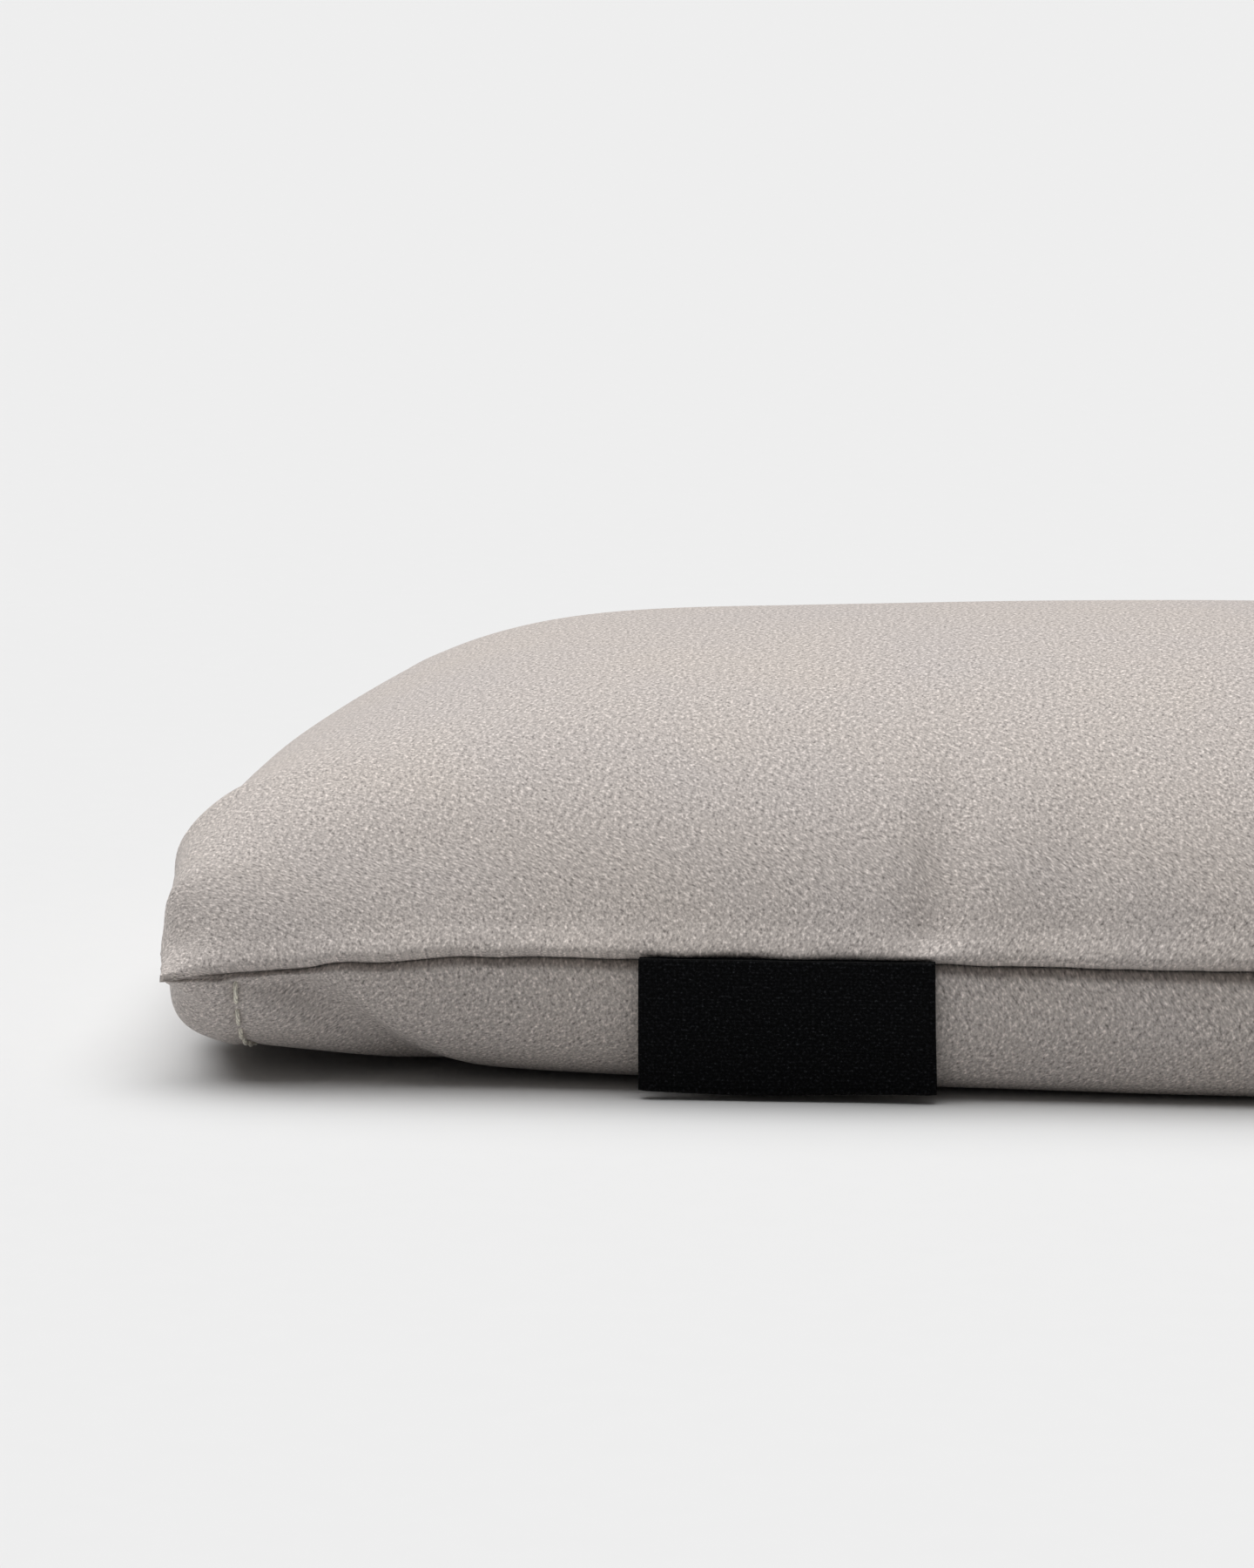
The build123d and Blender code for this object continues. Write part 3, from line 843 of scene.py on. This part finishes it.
def thread_material(name, colour):
    """Twisted sewing thread with a little shine."""
    nodes = Nodes(name)
    place = nodes.place()
    twist = nodes.wave(nodes.turned(place, math.radians(35)), 0.16 * MM, 1.0)
    fibre = nodes.noise(place, 6000, 2.0)
    tone = nodes.math("ADD", nodes.math("MULTIPLY", twist, 0.55), nodes.math("MULTIPLY", fibre, 0.45))
    base = nodes.ramp(tone, [(0.25, shade(colour, 0.62)), (0.55, colour), (0.8, shade(colour, 1.25))])
    normal = nodes.bump(tone, 0.04 * MM, 0.8)
    return nodes.finish(base, normal, {"Roughness": 0.5, "Sheen Weight": 0.15})


def pouch_material():
    """Plain natural muslin: an open over-and-under weave with small slubs."""
    nodes = Nodes("pouch_cloth")
    colour = slot_colours["pouch_cloth"]
    flat = nodes.place("cloth")
    warp = nodes.wave(flat, 0.55 * MM, 1.2, 2.0)
    weft = nodes.wave(nodes.turned(flat, math.radians(90)), 0.55 * MM, 1.2, 2.0)
    weave = nodes.math("MULTIPLY", warp, weft)
    slub = nodes.noise(nodes.turned(flat, 0, (0.12, 1, 1)), 900, 2.0, 0.6)
    cloud = nodes.noise(flat, 55, 3.0)
    tone = nodes.math("ADD", nodes.math("MULTIPLY", weave, 0.5), nodes.math("MULTIPLY", slub, 0.5))
    base = nodes.ramp(tone, [(0.2, shade(colour, 0.72)), (0.5, colour), (0.75, shade(colour, 1.12))])
    stain = nodes.ramp(cloud, [(0.35, (0.94, 0.92, 0.88)), (0.6, (1, 1, 1))])
    height = nodes.math("ADD", weave, nodes.math("MULTIPLY", slub, 0.6))
    return nodes.finish(
        nodes.mix(1.0, base, stain, "MULTIPLY"),
        nodes.bump(height, 0.10 * MM, 0.8),
        {"Roughness": 0.88, "Sheen Weight": 0.15, "Specular IOR Level": 0.2},
    )


def seed_material():
    """Glossy brown flaxseed, each seed its own brown."""
    nodes = Nodes("seed")
    colour = slot_colours["seed"]
    place = nodes.place()
    cells = nodes.add("ShaderNodeTexVoronoi", feature="F1")
    cells.inputs["Scale"].default_value = 420
    nodes.join(nodes.turned(place, math.radians(25), (0.6, 1, 1)), cells.inputs["Vector"])
    split = nodes.add("ShaderNodeSeparateColor")
    nodes.join(cells.outputs["Color"], split.inputs[0])
    base = nodes.ramp(
        split.outputs[0],
        [
            (0.0, shade(colour, 0.6)),
            (0.5, colour),
            (0.85, shade(colour, 1.5)),
            (1.0, (0.5, 0.3, 0.12)),
        ],
    )
    dome = nodes.math("SUBTRACT", 1.0, cells.outputs["Distance"])
    return nodes.finish(base, nodes.bump(dome, 0.6 * MM, 0.9), {"Roughness": 0.35})


def placed(piece, material, body, node):
    """Gives a piece its one material, parents it to its body's empty, and hides the imported part that
    it stands for.
    """
    piece.data.materials.append(material)
    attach(piece, body)
    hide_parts(node)
    return piece


# ------------------------------------------------------------------ build: cover
top_grid, bottom_grid = simulated_grids()
fit_to_frame(top_grid, bottom_grid)
fill_flap_end(relaxed(top_grid))
fill_flap_end(relaxed(bottom_grid))
top_grid = evened(top_grid)
bottom_grid = evened(bottom_grid)
(cover_top, _), (cover_bottom, low_points) = make_cover(top_grid, bottom_grid)
low_normals = -grid_normals(low_points)

cloth_look = cover_cloth_material()
for piece, node in ((cover_top, "cover_top_panel"), (cover_bottom, "cover_bottom_panel")):
    placed(piece, cloth_look, "cover", node)

# end hem: pale stitches on the outside of the bottom panel, and their mates inside
hem_path, hem_normals = row_at_x(low_points, low_normals, HEM_X)
hem_path, hem_normals = hem_path[3:-3], hem_normals[3:-3]
inside_path = hem_path - hem_normals * (CLOTH + 0.1 * MM)
hem_lines = stitch_lines(
    hem_path, hem_normals, STITCH_PITCH, STITCH_LENGTH, 0.26 * MM, 0.3 * MM
)
hem_lines += stitch_lines(
    inside_path, -hem_normals, STITCH_PITCH, STITCH_LENGTH, 0.12 * MM, 0.3 * MM
)
end_hem = tubes("end_hem_stitches", hem_lines, THREAD_RADIUS)
hem_look = thread_material("hem_thread", slot_colours["hem_thread"])
placed(end_hem, hem_look, "cover", "end_hem_thread")

# cover seam: its stitches are inside, behind the lip
seam_line, seam_upward = seam_path(top_grid, SEAM_STITCH_DEPTH)
seam_lines = stitch_lines(
    seam_line, seam_upward, STITCH_PITCH, STITCH_LENGTH, 0.15 * MM, 0.15 * MM
)
cover_seam = tubes("cover_seam_stitches", seam_lines, THREAD_RADIUS, 6)
seam_look = thread_material("cover_thread", slot_colours["cover_thread"])
placed(cover_seam, seam_look, "cover", "cover_seam_thread")


# ------------------------------------------------------------------ build: label
def front_line(x):
    """The bottom panel's front at a place along it: heights and depths, from the floor up."""
    well_in = 40
    column = int(np.abs(low_points[:, well_in, 0] - x).argmin())
    line = low_points[column]
    front = line[: len(line) // 2]
    return front[:, 2][::-1], front[:, 1][::-1]


def make_label():
    """A strip of woven ribbon folded double, hanging from the seam with its fold at the bottom."""
    left, right = label_box[0][0] + 0.1 * MM, label_box[1][0] - 0.1 * MM
    width = right - left
    turn = LABEL_GAP / 2 + LABEL_LAYER / 2
    top_z = LABEL_HINGE[2] + LABEL_ROOT
    low_z = label_box[0][2] - 0.1 * MM
    bend_z = low_z + turn + LABEL_LAYER / 2
    straight = np.linspace(top_z, bend_z, 46)
    angle = np.linspace(0, math.pi, 13)[1:-1]
    profile = [(-turn, z) for z in straight]
    profile += [(-turn * math.cos(a), bend_z - turn * math.sin(a)) for a in angle]
    profile += [(turn, z) for z in straight[::-1]]
    profile = np.array(profile)
    step = np.linalg.norm(np.diff(profile, axis=0), axis=1)
    down = np.concatenate([[0], np.cumsum(step)])
    across = np.linspace(0, 1, 97)
    points = np.empty((len(across), len(profile), 3))
    points[..., 0] = (left + across * width)[:, None]
    points[..., 2] = profile[None, :, 1]
    fall = (top_z - points[..., 2]) / (top_z - low_z)
    for k, share in enumerate(across):
        heights, depths = front_line(left + share * width)
        panel = np.interp(profile[:, 1], heights, depths)
        # the ribbon hangs from its hinge line, leaning in, but stays clear of the cloth behind it
        hanging = LABEL_HINGE[1] + LABEL_LEAN * fall[k] ** 2
        clear = panel - turn - LABEL_LAYER / 2 - 0.1 * MM
        points[k, :, 1] = np.minimum(hanging, clear) + profile[:, 0]
    wobble = smooth_noise(points[..., 0], points[..., 2], 21, 0.014)
    points[..., 1] -= 0.08 * MM * (1 + wobble) * fall
    points[..., 0] += 0.25 * MM * (across[:, None] - 0.3) * fall
    points[..., 2] += 0.12 * MM * smooth_noise(points[..., 0], 0, 22, 0.02) * fall
    # the woven side edges are a little thicker than the face
    edge = np.minimum(across, 1 - across) * width
    facing = grid_normals(points)
    selvedge = 0.05 * MM * hill(edge, 0.5 * MM)
    points += facing * selvedge[:, None, None]
    flat = np.stack(np.broadcast_arrays((across * width)[:, None], down[None, :]), axis=-1)
    return shell_from_grid("label_cloth", points, LABEL_LAYER, flat), down[-1]


label, label_strip = make_label()
placed(label, label_material(), "label", "woven_label")


# ------------------------------------------------------------------ build: tuck flap
def make_flap():
    """The end of the top cloth, turned in over the left end and lying under the pouch."""
    half = (flap_box[1][1] - flap_box[0][1]) / 2 - 0.5 * MM
    root_x, root_z = FLAP_HINGE[0], FLAP_HINGE[2]
    free_x = flap_box[1][0]
    low_z = flap_box[0][2] + 0.35 * MM
    t = np.linspace(0, 1, 90)[:, None]
    start = np.array((root_x, root_z))
    bend = np.array(((root_x + free_x) / 2, low_z))
    end = np.array((free_x, low_z))
    # two straight runs with a soft bend between them, as a blend of lines
    slope = start + (bend - start) * (t * 2)
    level = bend + (end - bend) * (t * 2 - 1)
    ease = 1 / (1 + np.exp(-(t - 0.5) / 0.035))
    line = slope * (1 - ease) + level * ease
    across = np.linspace(-1, 1, 121)
    points = np.empty((len(line), len(across), 3))
    points[..., 0] = line[:, :1]
    points[..., 1] = across[None, :] * half
    points[..., 2] = line[:, 1:]
    away = (points[..., 0] - root_x) / (free_x - root_x)
    ripple = smooth_noise(points[..., 0], points[..., 1], 31, 0.03)
    points[..., 2] += 0.18 * MM * ripple * np.clip(away * 3, 0, 1)
    reach = np.concatenate([[0], np.cumsum(np.linalg.norm(np.diff(line, axis=0), axis=1))])
    from_hem = reach[-1] - reach - FLAP_HEM
    thick = 0.22 * MM / (1 + np.exp(from_hem / (0.2 * MM)))
    thick -= 0.16 * MM * hill(from_hem, 0.5 * MM)
    points[..., 2] += thick[:, None]
    flat = np.stack(np.broadcast_arrays(reach[:, None], (across * half)[None, :]), axis=-1)
    row = int(np.abs(from_hem).argmin())
    piece = shell_from_grid("tuck_flap_cloth", points, CLOTH, flat)
    return piece, points[row], reach[-1], 2 * half


flap, flap_row, flap_length, flap_width = make_flap()
placed(flap, cloth_look, "flap", "tuck_flap")

up = np.tile([0.0, 0.0, 1.0], (len(flap_row), 1))
flap_lines = stitch_lines(
    flap_row, up, STITCH_PITCH, STITCH_LENGTH, 0.14 * MM, 0.25 * MM
)
flap_lines += stitch_lines(
    flap_row - up * CLOTH, -up, STITCH_PITCH, STITCH_LENGTH, 0.14 * MM, 0.25 * MM
)
flap_hem = tubes("flap_hem_stitches", flap_lines, THREAD_RADIUS)
flap_hem_look = thread_material("flap_thread", slot_colours["hem_thread"])
placed(flap_hem, flap_hem_look, "flap", "flap_hem_thread")


# ------------------------------------------------------------------ build: pouch and filling
def pouch_points(grid, is_top, u, v, half_length, half_width, far_z, plane_z):
    """A puffed layer in the cover's own settled shape, flat where u or v is outside 0 to 1."""
    inside_u, inside_v = np.clip(u, 0, 1), np.clip(v, 0, 1)
    points = read_grid(grid, inside_u, inside_v)
    points[..., 0] *= half_length / HALF_LENGTH
    points[..., 1] *= half_width / HALF_WIDTH
    share = (points[..., 2] - SEAM_Z) / ((TOP_Z if is_top else 0.0) - SEAM_Z)
    share = np.clip(share, 0.0, 1.02)
    points[..., 2] = plane_z + share * (far_z - plane_z)
    points[..., 0] += ((u - inside_u) * FLAT_LENGTH)[:, None]
    points[..., 1] += ((v - inside_v) * FLAT_WIDTH)[None, :]
    return points


def make_pouch(name, grid, is_top, box, plane_z):
    """One pouch panel as a closed thin cloth, lumpy with seed, with its flat sewn margin."""
    half_length = (box[1][0] - box[0][0]) / 2 - POUCH_MARGIN
    half_width = (box[1][1] - box[0][1]) / 2 - POUCH_MARGIN
    far_z = box[1][2] if is_top else box[0][2]
    inner_u = graded(FLAT_LENGTH, 0.8 * MM, 1.5 * MM, 4 * MM)
    inner_v = graded(FLAT_WIDTH, 0.8 * MM, 1.5 * MM, 4 * MM)
    ring = np.linspace(POUCH_MARGIN, POUCH_MARGIN / 6, 6)
    u = np.concatenate([-ring / FLAT_LENGTH, inner_u, 1 + ring[::-1] / FLAT_LENGTH])
    v = np.concatenate([-ring / FLAT_WIDTH, inner_v, 1 + ring[::-1] / FLAT_WIDTH])
    points = pouch_points(grid, is_top, u, v, half_length, half_width, far_z, plane_z)
    edge_u = np.minimum(u, 1 - u) * FLAT_LENGTH
    edge_v = np.minimum(v, 1 - v) * FLAT_WIDTH
    edge = np.minimum(edge_u[:, None], edge_v[None, :])
    puff = np.clip(edge / (5 * MM), 0, 1)
    normals = grid_normals(points) * (1 if is_top else -1)
    x, y = points[..., 0], points[..., 1]
    lumps = 0.5 * MM * smooth_noise(x, y, 41 if is_top else 42, 0.022)
    lumps += 0.22 * MM * smooth_noise(x, y, 43, 0.007)
    runs = np.where(edge_u[:, None] < edge_v[None, :], y, x)
    creases = smooth_noise(runs, 0, 44, 0.009) * hill(edge - 5 * MM, 5 * MM)
    out = (lumps - 0.4 * MM) * puff + 0.35 * MM * creases * (edge > 0)
    points = points + normals * out[..., None]
    points[..., 2] += 0.12 * MM * smooth_noise(x, y, 45, 0.03) * (edge <= 0)
    flat = np.stack(flat_places(u, v), axis=-1)
    return shell_from_grid(name, points, POUCH_CLOTH, flat, flip=not is_top)


pouch_look = pouch_material()
pouch_top = make_pouch("pouch_top", top_grid, True, pouch_top_box, POUCH_Z + 0.4 * MM)
pouch_low = make_pouch("pouch_bottom", bottom_grid, False, pouch_low_box, POUCH_Z - 0.1 * MM)
for piece, node in ((pouch_top, "pouch_top_panel"), (pouch_low, "pouch_bottom_panel")):
    placed(piece, pouch_look, "insert", node)


def margin_rows(closing):
    """Stitch lines on both faces of the pouch margin: three sides, or the end closed last."""
    half_length = pouch_top_box[1][0] - POUCH_MARGIN / 2
    half_width = pouch_top_box[1][1] - POUCH_MARGIN / 2
    top_z, low_z = POUCH_Z + 0.42 * MM, POUCH_Z - 0.12 * MM
    if closing:
        across = np.linspace(-half_width + 3 * MM, half_width - 3 * MM, 120)
        flat = np.stack([0 * across + half_length, across], axis=1)
    else:
        along = np.linspace(half_length - 3 * MM, -half_length, 300)
        across = np.linspace(-half_width, half_width, 120)[1:-1]
        front = np.stack([along, 0 * along - half_width], axis=1)
        end = np.stack([0 * across - half_length, across], axis=1)
        back = np.stack([along[::-1], 0 * along + half_width], axis=1)
        flat = np.concatenate([front, end, back])
    lines = []
    for z, way in ((top_z, 1.0), (low_z, -1.0)):
        path = np.column_stack([flat, np.full(len(flat), z)])
        normal = np.tile([0.0, 0.0, way], (len(flat), 1))
        lines += stitch_lines(path, normal, POUCH_PITCH, POUCH_STITCH, 0.24 * MM, 0.35 * MM)
    return lines


pouch_thread_look = thread_material("pouch_thread", slot_colours["pouch_thread"])
for name, node, closing in (
    ("pouch_seam_stitches", "pouch_seam_thread", False),
    ("pouch_closing_stitches", "pouch_closing_thread", True),
):
    stitches = tubes(name, margin_rows(closing), THREAD_RADIUS, 6)
    placed(stitches, pouch_thread_look, "insert", node)


def make_fill():
    """The settled seed as one closed pebbly body inside the pouch."""
    u = graded(FLAT_LENGTH, 0.9 * MM, 1.2 * MM, 4 * MM)
    v = graded(FLAT_WIDTH, 0.9 * MM, 1.2 * MM, 4 * MM)
    half_length = (fill_box[1][0] - fill_box[0][0]) / 2 - 3.0 * MM
    half_width = (fill_box[1][1] - fill_box[0][1]) / 2 - 2.4 * MM
    layers = []
    for grid, is_top, far_z in (
        (top_grid, True, fill_box[1][2] - 1.8 * MM),
        (bottom_grid, False, fill_box[0][2] + 1.6 * MM),
    ):
        points = pouch_points(grid, is_top, u, v, half_length, half_width, far_z, SEAM_Z)
        normals = grid_normals(points) * (1 if is_top else -1)
        x, y = points[..., 0], points[..., 1]
        seeds = smooth_noise(x, y, 51, 0.0035) + 0.5 * smooth_noise(x, y, 52, 0.0022)
        points = points + normals * (0.22 * MM * seeds)[..., None]
        layers.append(points)
    top_layer, low_layer = layers
    # the two layers share the points of their rim
    columns, rows = top_layer.shape[:2]
    number = np.arange(columns * rows).reshape(columns, rows)
    below = number + columns * rows
    for edge in (np.s_[0, :], np.s_[-1, :], np.s_[:, 0], np.s_[:, -1]):
        below[edge] = number[edge]
    faces = np.concatenate([grid_quads(number), grid_quads(below)[:, ::-1]])
    used = np.unique(faces)
    renumber = np.zeros(2 * columns * rows, int)
    renumber[used] = np.arange(len(used))
    vertices = np.concatenate([top_layer.reshape(-1, 3), low_layer.reshape(-1, 3)])[used]
    return mesh_object("flaxseed", vertices, renumber[faces])


placed(make_fill(), seed_material(), "insert", "flaxseed_fill")

# ------------------------------------------------------------------ each cover piece gets a mesh of its own
for piece in (cover_top, cover_bottom, cover_seam, end_hem, label, flap, flap_hem):
    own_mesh(piece)

# ------------------------------------------------------------------ floor and light
FLOOR_REACH = 12.0
floor = square_object("floor", FLOOR_REACH)
floor_nodes = Nodes("floor")
floor_grain = floor_nodes.noise(floor_nodes.place(), 300, 2.0)
floor_tone = floor_nodes.ramp(
    floor_grain, [(0.3, (0.640, 0.640, 0.640)), (0.7, (0.644, 0.644, 0.644))]
)
floor_nodes.join(floor_tone, floor_nodes.shader.inputs["Base Color"])
floor_nodes.shader.inputs["Roughness"].default_value = 1.0
floor_nodes.shader.inputs["Specular IOR Level"].default_value = 0.0
floor.data.materials.append(floor_nodes.material)

SUN_STRENGTH = 3.9
SKY_STRENGTH = 0.13
sun_data = bpy.data.lights.new("overhead", "SUN")
sun_data.energy = SUN_STRENGTH
sun_data.angle = math.radians(84)
sun = bpy.data.objects.new("overhead", sun_data)
sun.rotation_euler = (math.radians(-11), math.radians(-9), 0)
bpy.context.scene.collection.objects.link(sun)

world = bpy.data.worlds.new("world")
world.use_nodes = True
background = world.node_tree.nodes["Background"]
background.inputs["Color"].default_value = (1.0, 1.0, 1.0, 1.0)
background.inputs["Strength"].default_value = SKY_STRENGTH
bpy.context.scene.world = world
bpy.context.scene.view_settings.view_transform = "Standard"
